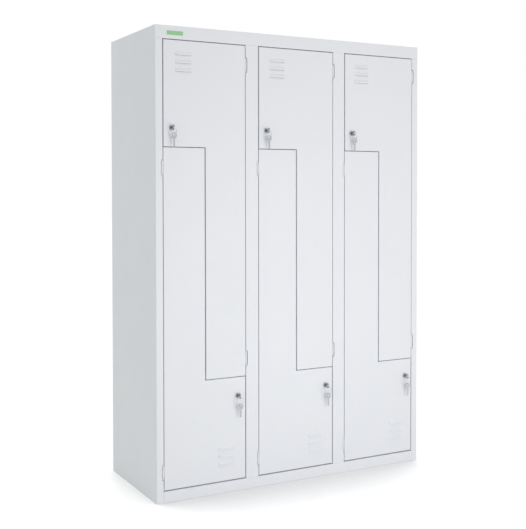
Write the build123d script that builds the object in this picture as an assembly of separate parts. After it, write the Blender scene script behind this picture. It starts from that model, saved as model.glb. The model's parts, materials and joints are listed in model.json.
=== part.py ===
from build123d import *
from math import cos, radians, sin
import os

# A sheet-steel locker with three columns. Each column is closed by two L-shaped doors that
# interlock along a Z-shaped line, so that both compartments have a full-width and a tall part.
#
# Lengths are in millimetres, +X right, +Y to the back, +Z up. The pieces are shaped with X from
# the left side, Y from the front plane and Z from the floor. The written nodes have their
# origin on the floor, in the middle of the whole object, keys included.

# Front of the cabinet
column_count = 3
opening_width = 350
opening_height = 1706.5
stile_width = 29
mullion_width = 56
sill_height = 43.5
header_height = 50
cabinet_depth = 490

# Sheet metal of the body
body_sheet = 1.0
back_sheet = 0.8
bend_radius = 1.0  # inside of a fold
lip_width = 12  # door stop behind each edge of an opening
flange_width = 15  # spot-welded flanges
foot_return = 20
back_margin = 2  # bare strip beside the back panel
partition_flange = 20
wall_hole_radius = 4.5
wall_hole_drop = 200  # below the top

# Z-shaped divider of a column
step_height = 405  # from the end of the doors' field to the step between the doors
middle_share = 0.5
divider_face = 25  # front flange, centred behind the gap between the doors

# Coat rails
rail_radius = 8
rail_wall = 1.5
rail_setback = 250
upper_rail_drop = 110  # below the top
lower_rail_drop = 48  # below the upper shelf
rail_end_gap = 0.3
rail_fit = 0.15
socket_radius = 18
socket_base = 2
socket_collar_wall = 2
socket_collar_length = 12

# Door pans
door_sheet = 1.0
door_depth = 20
door_return = 10
door_edge_radius = 1.5
lock_side_gap = 3.6
hinge_side_gap = 2.3
end_gap = 3  # above the upper door
sill_gap = 4.5  # below the lower door
step_gap = 2.5  # between the doors, across the steps
middle_gap = 4  # between the doors, beside the upright stretch
buffer_gap = 2  # from the back of the doors to the lips
stiffener_width = 30
stiffener_foot = 15
stiffener_depth = 12
stiffener_end_gap = 6

# Rubber buffers on the lips
buffer_radius = 4
buffer_play = 0.3
buffer_inset = 60

# Louvres
louvre_count = 3
louvre_width = 71
louvre_height = 14
louvre_rise = 4
louvre_pitch = 31
louvre_front_height = 6
louvre_end_slope = 4.5
louvre_corner = 4
louvre_inset = 50  # from the lock side of the opening
upper_louvre_drop = 58  # opening top to the foot of the first louvre
lower_louvre_rise = 66  # opening bottom to the foot of the last louvre

# Hinges
knuckle_length = 58
knuckle_radius = 3.9
knuckle_front = 0.7  # how far it stands in front of the stile
knuckle_door_gap = 0.3
end_knuckle = 14
knuckle_slit = 0.3
cone_length = 9
cone_depth = 1.7
pin_radius = 1.75
pin_fit = 0.03
pin_play = 0.08
pin_chamfer = 0.4
hinge_leaf = 1.4
hinge_leaf_length = 15
hinge_play = 0.5
notch_gap = 1.0
notch_side_gap = 1.2
upper_hinge_offset = 79  # end of the opening to the middle of the nearer hinge, upper door
lower_hinge_offset = 72  # the same, lower door
hinge_spacing = 1150

# Cam locks
lock_inset = 36.5  # from the lock side of the opening
lock_above_step = 73
lock_head_radius = 11
lock_head_rise = 3
lock_head_edge = 1.2
barrel_radius = 9.4
barrel_flat = 8.0  # axis to flat
barrel_fit = 0.2
barrel_reach = 0.5  # beyond the front of the lips
lock_nut_flats = 24
lock_nut_height = 4
plug_radius = 6.0
plug_play = 0.06
plug_recess = 0.4
collar_radius = 8.5
collar_play = 0.2
cam_clearance = 1.5  # lips to cam
cam_sheet = 2.2
cam_width = 16
cam_reach = 45
boss_radius = 5.2
boss_flat = 4.2
boss_fit = 0.1
cam_nut_flats = 15
cam_nut_height = 3.2
keyway_end = 1.0  # past the tip of the key

# Keys
key_thickness = 2.0
key_bow = 21
key_bow_corner = 8
key_hole_radius = 4.0
key_hole_inset = 6.5
key_neck_length = 4
key_neck_width = 10
blade_length = 28
blade_width = 8
blade_tip = 2.5
keyway_play = 0.2
key_seat = 0.3
bit_place_shares = (0.28, 0.42, 0.56, 0.70, 0.84)
bit_depth_shares = (0.22, 0.34, 0.16, 0.30, 0.20)
bit_slope_share = 0.12
upper_ring_radius = 10.5  # smaller, so that the spare key clears the door below it
lower_ring_radius = 15.5
ring_wire = 0.8
ring_seat = 0.3
spare_turn = 40  # degrees between the hanging key and the front plane
spare_drop = 2.5  # ring wire to the middle of the hole

overrun = 1.0  # how far a cutting solid passes a surface

# Values that follow from the sizes above
column_pitch = opening_width + mullion_width
cabinet_width = 2 * stile_width + column_count * opening_width + (column_count - 1) * mullion_width
cabinet_height = sill_height + opening_height + header_height
opening_bottom = sill_height
opening_top = sill_height + opening_height
field_bottom = opening_bottom + sill_gap - end_gap  # the two doors' field ends one end gap past each
field_height = opening_top - field_bottom
half_sheet = body_sheet / 2
bend_outside = bend_radius + body_sheet
lip_front = door_depth + buffer_gap
lip_back = lip_front + body_sheet
fold_end = lip_front - bend_radius  # where uprights stop short of the bends of sill and header
floor_top = opening_bottom + lip_width
back_inner = cabinet_depth - back_sheet
rear_flange_front = back_inner - body_sheet
under_top = cabinet_height - body_sheet
upper_step = opening_top - step_height
lower_step = field_bottom + step_height
upper_shelf_top = upper_step + divider_face / 2
lower_shelf_top = lower_step + divider_face / 2
upper_rail_height = under_top - upper_rail_drop
lower_rail_height = upper_shelf_top - lower_rail_drop
hinge_axis_depth = knuckle_radius - knuckle_front
hinge_axis_inset = knuckle_radius + knuckle_door_gap - hinge_side_gap  # into the stile
hinge_middle = knuckle_length / 2 - end_knuckle  # half of the middle knuckle's length
door_plane = knuckle_radius + knuckle_door_gap  # hinge axis to the door's edge
return_inner = hinge_axis_inset - body_sheet  # hinge axis to the inside of the stile's fold
notch_half = knuckle_length / 2 + notch_gap
notch_depth = hinge_axis_inset + knuckle_radius + notch_side_gap
barrel_end = lip_front + barrel_reach
cam_front = lip_back + cam_clearance
cam_back = cam_front + cam_sheet
boss_end = cam_back + cam_nut_height
plug_front = plug_recess - lock_head_rise
shoulder_depth = plug_front - key_seat
blade_tip_depth = shoulder_depth + blade_length
hole_to_shoulder = key_bow - key_hole_inset + key_neck_length
ring_depth = shoulder_depth - hole_to_shoulder
ring_top = key_hole_radius - ring_seat - ring_wire  # below the lock's axis
spare_half_reach = key_bow / 2 * sin(radians(spare_turn)) + key_thickness / 2 * cos(radians(spare_turn))
key_reach = spare_half_reach - ring_depth  # foremost point of the keys
front_plane = (key_reach - cabinet_depth) / 2
to_frame = Pos(-cabinet_width / 2, front_plane, 0)


def opening_left(column):
    return stile_width + column * column_pitch


def mullion_centre(mullion):
    return opening_left(mullion) + opening_width + mullion_width / 2


def wall_left(column):
    if column == 0:
        return body_sheet
    return mullion_centre(column - 1) + half_sheet


def wall_right(column):
    if column == column_count - 1:
        return cabinet_width - body_sheet
    return mullion_centre(column) - half_sheet


def divider_middle(column):
    # Middle plane of the upright part, so that its flange lies centred behind the doors' gap
    return opening_left(column) + middle_share * opening_width - divider_face / 2


def block(x0, x1, y0, y1, z0, z1):
    low_corner = (Align.MIN, Align.MIN, Align.MIN)
    return Pos(x0, y0, z0) * Box(x1 - x0, y1 - y0, z1 - z0, align=low_corner)


def rod(radius, y0, y1):
    # A cylinder along Y
    along_y = Pos(0, y0, 0) * Rot(-90, 0, 0)
    return along_y * Cylinder(radius, y1 - y0, align=(Align.CENTER, Align.CENTER, Align.MIN))


def upright(radius, z0, z1):
    # A cylinder along Z
    return Pos(0, 0, z0) * Cylinder(radius, z1 - z0, align=(Align.CENTER, Align.CENTER, Align.MIN))


def flatted_rod(radius, flat, y0, y1):
    # A cylinder along Y with two flats
    return rod(radius, y0, y1) & block(-flat, flat, y0, y1, -radius, radius)


def hexagon(flats, y0, y1):
    along_y = Pos(0, y0, 0) * Rot(-90, 0, 0)
    return along_y * extrude(RegularPolygon(flats / 2, 6, major_radius=False), y1 - y0)


def folded(points, gauge):
    # Section of a folded sheet, from the corners of its middle line
    return trace(FilletPolyline(*points, radius=bend_radius + gauge / 2), gauge)


def folded_up(points, gauge, z0, z1):
    # A section in plan, drawn upwards
    return Pos(0, 0, z0) * extrude(folded(points, gauge), z1 - z0)


def folded_across(points, gauge, x0, x1):
    # A section seen from the side, drawn along X
    return Pos(x0, 0, 0) * extrude(Plane.YZ * folded(points, gauge), x1 - x0)


def folded_back(points, gauge, y0, y1):
    # A section seen from the front, drawn along Y
    section = Plane.XZ * folded(points, gauge)
    return Pos(0, y0, 0) * extrude(section, y1 - y0, dir=(0, 1, 0))


def mirrored(shape):
    return mirror(shape, Plane.YZ)


# Hinges: a bracket with two end knuckles on the cabinet, a leaf with the middle knuckle on the
# door, and a pin through all three. They are drawn about the pin for a door on the +X side.
def hinge_bracket():
    top_knuckle = upright(knuckle_radius, hinge_middle, knuckle_length / 2)
    end_edge = top_knuckle.edges().filter_by(GeomType.CIRCLE).sort_by(Axis.Z)[-1]
    side_face = top_knuckle.faces().sort_by(Axis.Z)[1]
    top_knuckle = chamfer(end_edge, cone_length, cone_depth, reference=side_face)
    plate_front = pin_radius + hinge_play
    half = knuckle_length / 2
    plate = block(return_inner - hinge_leaf, return_inner, plate_front, hinge_leaf_length, -half, half)
    clear = knuckle_radius + hinge_play
    plate -= block(-clear, clear, 0, clear, -hinge_middle, hinge_middle)
    bore = upright(pin_radius + pin_fit, -half, half)
    return top_knuckle + mirror(top_knuckle, Plane.XY) + plate - bore


def hinge_leaf_piece():
    half = knuckle_length / 2
    middle_half = hinge_middle - knuckle_slit
    knuckle = upright(knuckle_radius, -middle_half, middle_half)
    plate = block(door_plane - hinge_leaf, door_plane, 0, hinge_leaf_length, -half, half)
    clear = knuckle_radius + hinge_play
    for z0, z1 in ((middle_half, half), (-half, -middle_half)):
        plate -= block(0, door_plane, 0, clear, z0, z1)
    return knuckle + plate - upright(pin_radius + pin_play, -half, half)


def hinge_pin():
    pin = upright(pin_radius, knuckle_slit - knuckle_length / 2, knuckle_length / 2 - knuckle_slit)
    return chamfer(pin.edges().filter_by(GeomType.CIRCLE), pin_chamfer)


def hinge_heights(upper):
    if upper:
        top = opening_top - upper_hinge_offset
        return (top, top - hinge_spacing)
    bottom = field_bottom + lower_hinge_offset
    return (bottom, bottom + hinge_spacing)


def hinge_edge(column, upper):
    # Edge of the opening that carries the hinges: right for an upper door, left for a lower one
    return opening_left(column) + (opening_width if upper else 0)


def hinge_places(column, upper):
    inset = hinge_axis_inset if upper else -hinge_axis_inset
    x = hinge_edge(column, upper) + inset
    return [Pos(x, hinge_axis_depth, z) for z in hinge_heights(upper)]


def at_hinges(shape, column, upper):
    handed = mirrored(shape) if upper else shape
    return [place * handed for place in hinge_places(column, upper)]


def hinge_notches(column, upper):
    # Cutters for the slope-ended notches in the face of a stile and in the fold behind it
    outward = 1 if upper else -1
    edge = hinge_edge(column, upper)
    slope_foot = knuckle_length / 2 - cone_length
    end_depth = notch_depth - cone_depth
    cutters = []
    for z in hinge_heights(upper):
        outline = [
            (edge - outward * overrun, z - notch_half),
            (edge + outward * end_depth, z - notch_half),
            (edge + outward * notch_depth, z - slope_foot),
            (edge + outward * notch_depth, z + slope_foot),
            (edge + outward * end_depth, z + notch_half),
            (edge - outward * overrun, z + notch_half),
        ]
        face = Plane.XZ * make_face(Polyline(*outline, close=True))
        cutters.append(Pos(0, -overrun, 0) * extrude(face, bend_outside + overrun, dir=(0, 1, 0)))
        x0, x1 = sorted((edge - outward * overrun, edge + outward * body_sheet))
        fold_depth = hinge_axis_depth + knuckle_radius + hinge_play
        cutters.append(block(x0, x1, 0, fold_depth, z - notch_half, z + notch_half))
    return cutters


# Cabinet body

def plain_side():
    # Left side: wall, front stile with its fold and door stop, rear flange, top and foot returns
    section = [
        (flange_width, back_inner - half_sheet),
        (half_sheet, back_inner - half_sheet),
        (half_sheet, half_sheet),
        (stile_width - half_sheet, half_sheet),
        (stile_width - half_sheet, lip_front + half_sheet),
        (stile_width + lip_width, lip_front + half_sheet),
    ]
    side = folded_up(section, body_sheet, 0, under_top)
    stop_end = stile_width + lip_width + overrun
    side -= block(body_sheet, stop_end, -overrun, lip_back + overrun, opening_top, cabinet_height)
    side -= block(-overrun, stop_end, -overrun, body_sheet, opening_top, cabinet_height)
    side += block(0, body_sheet, body_sheet, bend_outside, opening_top, under_top)
    lip_zone_bottom = opening_top - lip_width
    side -= block(body_sheet, stop_end, fold_end, lip_back + overrun, lip_zone_bottom, cabinet_height)
    side -= block(body_sheet, stop_end, fold_end, lip_back + overrun, -overrun, floor_top)
    return_start = lip_back + flange_width
    return_end = back_inner - 2 * flange_width
    side += block(half_sheet, flange_width, return_start, return_end, under_top - body_sheet, under_top)
    foot_end = back_inner - foot_return - flange_width
    side += block(half_sheet, foot_return, return_start, foot_end, 0, body_sheet)
    return side


def left_side_panel():
    side = plain_side()
    for cutter in hinge_notches(0, False):
        side -= cutter
    return side


def right_side_panel():
    side = Pos(cabinet_width, 0, 0) * mirrored(plain_side())
    for cutter in hinge_notches(column_count - 1, True):
        side -= cutter
    return side


def top_panel():
    # Top sheet and header in one, with the fold and door stop above the openings
    section = [
        (back_inner, under_top + half_sheet),
        (half_sheet, under_top + half_sheet),
        (half_sheet, opening_top + half_sheet),
        (lip_front + half_sheet, opening_top + half_sheet),
        (lip_front + half_sheet, opening_top - lip_width),
    ]
    top = folded_across(section, body_sheet, 0, cabinet_width)
    top += block(0, cabinet_width, back_inner - overrun, cabinet_depth, under_top, cabinet_height)
    wall_zone = (body_sheet, cabinet_depth, opening_top - lip_width, under_top)
    top -= block(-overrun, body_sheet, *wall_zone)
    top -= block(cabinet_width - body_sheet, cabinet_width + overrun, *wall_zone)
    return top


def bottom_panel():
    # Foot return, sill, fold, door stop, floor and rear wall in one folded sheet
    section = [
        (foot_return, half_sheet),
        (half_sheet, half_sheet),
        (half_sheet, opening_bottom - half_sheet),
        (lip_front + half_sheet, opening_bottom - half_sheet),
        (lip_front + half_sheet, floor_top - half_sheet),
        (back_inner - half_sheet, floor_top - half_sheet),
        (back_inner - half_sheet, half_sheet),
        (back_inner - foot_return, half_sheet),
    ]
    floor = folded_across(section, body_sheet, body_sheet, cabinet_width - body_sheet)
    above_floor = floor_top + overrun
    rear = rear_flange_front - bend_outside
    left_cuts = [
        block(-overrun, stile_width, -overrun, lip_front, -overrun, above_floor),
        block(-overrun, flange_width, rear, cabinet_depth, -overrun, above_floor),
        block(-overrun, foot_return, lip_back, cabinet_depth, -overrun, bend_outside),
    ]
    for cut in left_cuts:
        floor -= cut
        floor -= Pos(cabinet_width, 0, 0) * mirrored(cut)
    return floor


def back_panel():
    # Flat sheet with a folded top edge and two holes for fixing to a wall
    section = [
        (back_inner - flange_width, under_top - half_sheet),
        (back_inner + back_sheet / 2, under_top - half_sheet),
        (back_inner + back_sheet / 2, back_margin),
    ]
    back = folded_across(section, back_sheet, back_margin, cabinet_width - back_margin)
    corner = block(0, flange_width + back_margin, 0, back_inner, under_top - bend_outside, cabinet_height)
    back -= corner
    back -= Pos(cabinet_width, 0, 0) * mirrored(corner)
    for column in (0, column_count - 1):
        x = opening_left(column) + opening_width / 2
        hole = rod(wall_hole_radius, back_inner - overrun, cabinet_depth + overrun)
        back -= Pos(x, 0, cabinet_height - wall_hole_drop) * hole
    return back


def column_partition(mullion):
    # Sheet wall between two columns, flanged behind the mullion, at the back and under the top
    x = mullion_centre(mullion)
    section = [
        (x + partition_flange, body_sheet + half_sheet),
        (x, body_sheet + half_sheet),
        (x, rear_flange_front + half_sheet),
        (x + flange_width, rear_flange_front + half_sheet),
    ]
    wall = folded_up(section, body_sheet, floor_top, under_top)
    cut_left = x - overrun
    front_cut_right = x + partition_flange + overrun
    wall -= block(cut_left, front_cut_right, 0, lip_back, opening_top - lip_width, cabinet_height)
    rear_cut_right = x + flange_width + overrun
    rear_cut_front = back_inner - flange_width - overrun
    rear_cut_foot = under_top - bend_outside
    wall -= block(cut_left, rear_cut_right, rear_cut_front, cabinet_depth, rear_cut_foot, cabinet_height)
    return_start = lip_back + flange_width
    return_end = back_inner - 2 * flange_width
    wall += block(x, x + flange_width, return_start, return_end, under_top - body_sheet, under_top)
    return wall


def mullion_post(mullion):
    # Hat-section post between two openings, with a door stop on each side
    x0 = opening_left(mullion) + opening_width
    x1 = x0 + mullion_width
    section = [
        (x0 - lip_width, lip_front + half_sheet),
        (x0 + half_sheet, lip_front + half_sheet),
        (x0 + half_sheet, half_sheet),
        (x1 - half_sheet, half_sheet),
        (x1 - half_sheet, lip_front + half_sheet),
        (x1 + lip_width, lip_front + half_sheet),
    ]
    post = folded_up(section, body_sheet, opening_bottom, opening_top)
    lip_left = x0 - lip_width - overrun
    lip_right = x1 + lip_width + overrun
    post -= block(lip_left, lip_right, fold_end, lip_back + overrun, 0, floor_top)
    post -= block(lip_left, lip_right, fold_end, lip_back + overrun, opening_top - lip_width, opening_top)
    for cutter in hinge_notches(mullion, True) + hinge_notches(mullion + 1, False):
        post -= cutter
    return post


def z_divider(column):
    # Upper shelf, upright and lower shelf in one sheet, with a door stop along its front edge
    left = wall_left(column)
    right = wall_right(column)
    middle = divider_middle(column)
    section = [
        (left + half_sheet, upper_shelf_top - flange_width),
        (left + half_sheet, upper_shelf_top - half_sheet),
        (middle, upper_shelf_top - half_sheet),
        (middle, lower_shelf_top - half_sheet),
        (right - half_sheet, lower_shelf_top - half_sheet),
        (right - half_sheet, lower_shelf_top - flange_width),
    ]
    sheet = folded_back(section, body_sheet, lip_back, rear_flange_front - bend_radius)
    stop = (lip_back, lip_back + body_sheet)
    upper_middle = upper_shelf_top - half_sheet
    lower_middle = lower_shelf_top - half_sheet
    sheet += block(left, middle, *stop, upper_shelf_top - divider_face, upper_middle)
    sheet += block(middle, middle + divider_face, *stop, lower_middle, upper_shelf_top)
    sheet += block(middle, right, *stop, lower_shelf_top - divider_face, lower_middle)
    return sheet


# Coat rails and their sockets

def rail_spans(upper):
    # Walls that each column's rail runs between
    spans = []
    for column in range(column_count):
        end = wall_right(column) if upper else divider_middle(column) - half_sheet
        spans.append((wall_left(column), end))
    return spans


def coat_rails(upper):
    height = upper_rail_height if upper else lower_rail_height
    rails = []
    for left, right in rail_spans(upper):
        end = socket_base + rail_end_gap
        length = right - left - 2 * end
        along_x = Pos(left + end, rail_setback, height) * Rot(0, 90, 0)
        tube = upright(rail_radius, 0, length) - upright(rail_radius - rail_wall, 0, length)
        rails.append(along_x * tube)
    return rails


def rail_socket():
    # Flanged cup, drawn with its base on X = 0 and its mouth towards +X
    collar = rail_radius + rail_fit + socket_collar_wall
    cup = upright(socket_radius, 0, socket_base) + upright(collar, 0, socket_base + socket_collar_length)
    cup -= upright(rail_radius + rail_fit, socket_base, socket_base + socket_collar_length + overrun)
    return Rot(0, 90, 0) * cup


def rail_sockets():
    sockets = []
    for upper, height in ((True, upper_rail_height), (False, lower_rail_height)):
        for left, right in rail_spans(upper):
            sockets.append(Pos(left, rail_setback, height) * rail_socket())
            sockets.append(Pos(right, rail_setback, height) * mirrored(rail_socket()))
    return sockets


def door_buffers():
    # Rubber studs on the lips that the lock sides of the doors close against
    buffers = []
    thickness = buffer_gap - buffer_play
    for column in range(column_count):
        left = opening_left(column) + lip_width / 2
        right = opening_left(column) + opening_width - lip_width / 2
        for x, low, high in ((left, upper_step, opening_top), (right, field_bottom, lower_step)):
            for z in (low + buffer_inset, high - buffer_inset):
                buffers.append(Pos(x, 0, z) * rod(buffer_radius, lip_front - thickness, lip_front))
    return buffers


# Doors. A door is drawn as the upper one, with X and Z from the lower left corner of the field
# that the two doors fill. The lower one is the same pan turned half round in that field.

def door_layer(inset, y0, y1):
    left = lock_side_gap + inset
    right = opening_width - hinge_side_gap - inset
    top = field_height - end_gap - inset
    bottom = step_height + step_gap / 2 + inset
    step = field_height - step_height + step_gap / 2 + inset
    middle = middle_share * opening_width + middle_gap / 2 + inset
    outline = [(left, top), (right, top), (right, bottom), (middle, bottom), (middle, step), (left, step)]
    face = Plane.XZ * make_face(Polyline(*outline, close=True))
    return Pos(0, y0, 0) * extrude(face, y1 - y0, dir=(0, 1, 0))


def door_pan():
    pan = door_layer(0, 0, door_depth)
    front_edges = pan.faces().sort_by(Axis.Y)[0].edges()
    pan = fillet(front_edges, door_edge_radius)
    pan -= door_layer(door_sheet, door_sheet, door_depth - door_sheet)
    pan -= door_layer(door_return, door_depth - door_sheet - overrun, door_depth + overrun)
    return pan


def turned_for_lower(shape):
    # Half a turn about the middle of the field
    return Pos(opening_width, 0, field_height) * Rot(0, 180, 0) * shape


def lock_place(column, upper):
    # Where the axis of a door's lock meets the front plane
    if upper:
        return (opening_left(column) + lock_inset, upper_step + lock_above_step)
    return (opening_left(column) + opening_width - lock_inset, lower_step - lock_above_step)


def louvre_layer(inset, rise):
    # The hood's outside, or its inside when inset by the sheet; both run on below the foot
    half = louvre_width / 2 - inset
    front_half = half - louvre_end_slope
    foot = 2 * louvre_corner
    base = RectangleRounded(2 * half, louvre_height - inset + foot, louvre_corner - inset)
    front = RectangleRounded(2 * front_half, louvre_front_height - inset + foot, louvre_corner - inset)
    base_at = Plane.XZ * Pos(0, (louvre_height - inset - foot) / 2) * base
    front_at = Plane.XZ.offset(rise) * Pos(0, (louvre_front_height - inset - foot) / 2) * front
    return loft([base_at, front_at], ruled=True)


def louvre_hood():
    hood = louvre_layer(0, louvre_rise) - louvre_layer(door_sheet, louvre_rise - door_sheet)
    half = louvre_width / 2
    return hood - block(-half, half, -louvre_rise - overrun, overrun, -2 * louvre_height, 0)


def louvre_slot():
    half = louvre_width / 2 - louvre_corner
    return block(-half, half, -overrun, door_sheet + overrun, 0, louvre_height / 2)


def louvre_places(column, upper):
    half = louvre_inset + louvre_width / 2
    if upper:
        x = opening_left(column) + half
        first = opening_top - upper_louvre_drop
        return [Pos(x, 0, first - i * louvre_pitch) for i in range(louvre_count)]
    x = opening_left(column) + opening_width - half
    first = field_bottom + lower_louvre_rise
    return [Pos(x, 0, first + i * louvre_pitch) for i in range(louvre_count)]


def door_panel(column, upper):
    pan = door_pan() if upper else turned_for_lower(door_pan())
    door = Pos(opening_left(column), 0, field_bottom) * pan
    x, z = lock_place(column, upper)
    hole_radius = barrel_radius + barrel_fit
    hole_flat = barrel_flat + barrel_fit
    door -= Pos(x, 0, z) * flatted_rod(hole_radius, hole_flat, -overrun, door_sheet + overrun)
    for place in louvre_places(column, upper):
        door -= place * louvre_slot()
        door += place * louvre_hood()
    return door


def door_stiffener(column, upper):
    # Hat-section channel behind the skin, up the middle of the door's hinge half
    middle = middle_share * opening_width
    centre = (middle + opening_width) / 2
    half = stiffener_width / 2
    skin = door_sheet + half_sheet
    crown = door_sheet + stiffener_depth - half_sheet
    section = [
        (centre - half - stiffener_foot, skin),
        (centre - half, skin),
        (centre - half, crown),
        (centre + half, crown),
        (centre + half, skin),
        (centre + half + stiffener_foot, skin),
    ]
    bottom = step_height + step_gap / 2 + door_sheet + stiffener_end_gap
    top = field_height - end_gap - door_sheet - stiffener_end_gap
    channel = folded_up(section, body_sheet, bottom, top)
    if not upper:
        channel = turned_for_lower(channel)
    return Pos(opening_left(column), 0, field_bottom) * channel


# Cam lock, drawn about its axis with the front plane of the door at Y = 0

def lock_housing():
    head = rod(lock_head_radius, -lock_head_rise, 0)
    rim = head.edges().filter_by(GeomType.CIRCLE).sort_by(Axis.Y)[0]
    head = fillet(rim, lock_head_edge)
    barrel = flatted_rod(barrel_radius, barrel_flat, 0, barrel_end)
    return head + barrel - rod(plug_radius + plug_play, -lock_head_rise - overrun, barrel_end + overrun)


def lock_nut():
    nut = hexagon(lock_nut_flats, door_sheet, door_sheet + lock_nut_height)
    return nut - rod(barrel_radius + barrel_fit, 0, door_sheet + lock_nut_height + overrun)


def lock_plug():
    plug = rod(plug_radius, plug_front, barrel_end + collar_play)
    plug += rod(collar_radius, barrel_end + collar_play, cam_front)
    plug += flatted_rod(boss_radius, boss_flat, cam_front, boss_end)
    slot_half = key_thickness / 2 + keyway_play
    slot_height = blade_width / 2 + keyway_play
    tip = blade_tip_depth + keyway_end
    return plug - block(-slot_half, slot_half, plug_front - overrun, tip, -slot_height, slot_height)


def lock_cam():
    # Points up from the axis; a quarter turn takes it behind the lip of the stile
    plate = SlotCenterToCenter(cam_reach - cam_width / 2, cam_width, rotation=90)
    plate = Plane.XZ * Pos(0, (cam_reach - cam_width / 2) / 2) * plate
    cam = Pos(0, cam_front, 0) * extrude(plate, cam_sheet, dir=(0, 1, 0))
    return cam - flatted_rod(boss_radius + boss_fit, boss_flat + boss_fit, cam_front, cam_back)


def cam_nut():
    nut = hexagon(cam_nut_flats, cam_back, boss_end)
    return nut - flatted_rod(boss_radius + boss_fit, boss_flat + boss_fit, cam_back, boss_end)


# Keys, drawn flat about the middle of the hole with the blade towards +X

def flat_key():
    blade_start = hole_to_shoulder
    blade_end = blade_start + blade_length
    half = blade_width / 2
    outline = Pos(key_bow / 2 - key_hole_inset, 0) * RectangleRounded(key_bow, key_bow, key_bow_corner)
    neck_start = blade_start - key_neck_length - key_bow_corner
    neck = Rectangle(blade_start - neck_start, key_neck_width, align=(Align.MIN, Align.CENTER))
    outline += Pos(neck_start, 0) * neck
    blade = [
        (blade_start, -half),
        (blade_end - blade_tip, -half),
        (blade_end, 0),
        (blade_end - blade_tip, half),
        (blade_start, half),
    ]
    outline += make_face(Polyline(*blade, close=True))
    outline -= Circle(key_hole_radius)
    for place, depth in zip(bit_place_shares, bit_depth_shares):
        x = blade_start + place * blade_length
        slope = bit_slope_share * blade_length / 2
        notch = [(x - slope, half), (x, half - depth * blade_width), (x + slope, half)]
        outline -= make_face(Polyline(*notch, close=True))
    return Pos(0, 0, -key_thickness / 2) * extrude(outline, key_thickness)


def ring_radius(upper):
    return upper_ring_radius if upper else lower_ring_radius


def ring_drop(upper):
    # Lock's axis to the middle of the ring
    return ring_top + ring_radius(upper)


def key_with_ring(upper):
    # The key stands upright in the lock and the ring hangs in its hole, parallel to the door
    in_lock = Plane(origin=(0, ring_depth, 0), x_dir=(0, 1, 0), z_dir=(1, 0, 0))
    ring = Rot(90, 0, 0) * Torus(ring_radius(upper), ring_wire)
    return [in_lock * flat_key(), Pos(0, ring_depth, -ring_drop(upper)) * ring]


def spare_key(upper):
    # Hangs from the bottom of the ring, turned from the front plane
    turn = radians(spare_turn)
    hole_drop = ring_drop(upper) + ring_radius(upper) + spare_drop
    hanging = Plane(origin=(0, ring_depth, -hole_drop), x_dir=(0, 0, -1), z_dir=(sin(turn), cos(turn), 0))
    return hanging * flat_key()


def write_node(name, shapes):
    placed = [to_frame * shape for shape in shapes]
    solids = [solid for shape in placed for solid in shape.solids()]
    model = solids[0] if len(solids) == 1 else Compound(children=solids)
    export_step(model, os.path.join("parts", name + ".step"))


def write_cabinet():
    write_node("left_side_panel", [left_side_panel()])
    write_node("right_side_panel", [right_side_panel()])
    write_node("top_panel", [top_panel()])
    write_node("bottom_panel", [bottom_panel()])
    write_node("back_panel", [back_panel()])
    for mullion in range(column_count - 1):
        write_node(f"column_partition_{mullion + 1}", [column_partition(mullion)])
        write_node(f"mullion_{mullion + 1}", [mullion_post(mullion)])
    for column in range(column_count):
        write_node(f"z_divider_{column + 1}", [z_divider(column)])
    write_node("upper_coat_rails", coat_rails(True))
    write_node("lower_coat_rails", coat_rails(False))
    write_node("rail_sockets", rail_sockets())
    write_node("door_buffers", door_buffers())


def write_hinges():
    brackets = []
    pins = []
    for column in range(column_count):
        for upper in (True, False):
            brackets += at_hinges(hinge_bracket(), column, upper)
            pins += [place * hinge_pin() for place in hinge_places(column, upper)]
    write_node("hinge_brackets", brackets)
    write_node("hinge_pins", pins)


def write_door(column, upper):
    name = f"{'upper' if upper else 'lower'}_door_{column + 1}"
    x, z = lock_place(column, upper)
    at_lock = Pos(x, 0, z)
    cam_up_or_down = Rot(0, 0, 0) if upper else Rot(0, 180, 0)
    plug_pieces = [at_lock * cam_up_or_down * piece for piece in (lock_plug(), lock_cam(), cam_nut())]
    write_node(f"{name}_panel", [door_panel(column, upper)])
    write_node(f"{name}_stiffener", [door_stiffener(column, upper)])
    write_node(f"{name}_hinge_leaves", at_hinges(hinge_leaf_piece(), column, upper))
    write_node(f"{name}_lock_body", [at_lock * lock_housing(), at_lock * lock_nut()])
    write_node(f"{name}_lock_plug", plug_pieces)
    write_node(f"{name}_key", [at_lock * piece for piece in key_with_ring(upper)])
    write_node(f"{name}_spare_key", [at_lock * spare_key(upper)])


os.makedirs("parts", exist_ok=True)
write_cabinet()
write_hinges()
for door_column in range(column_count):
    write_door(door_column, True)
    write_door(door_column, False)
print(f"{cabinet_width:.0f} wide, {cabinet_depth:.0f} deep, {cabinet_height:.0f} high")
print(f"keys stand {key_reach:.1f} in front; front plane at Y = {front_plane:.2f}")
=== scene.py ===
import json
import math

import bmesh
import bpy
from mathutils import Matrix, Vector

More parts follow.
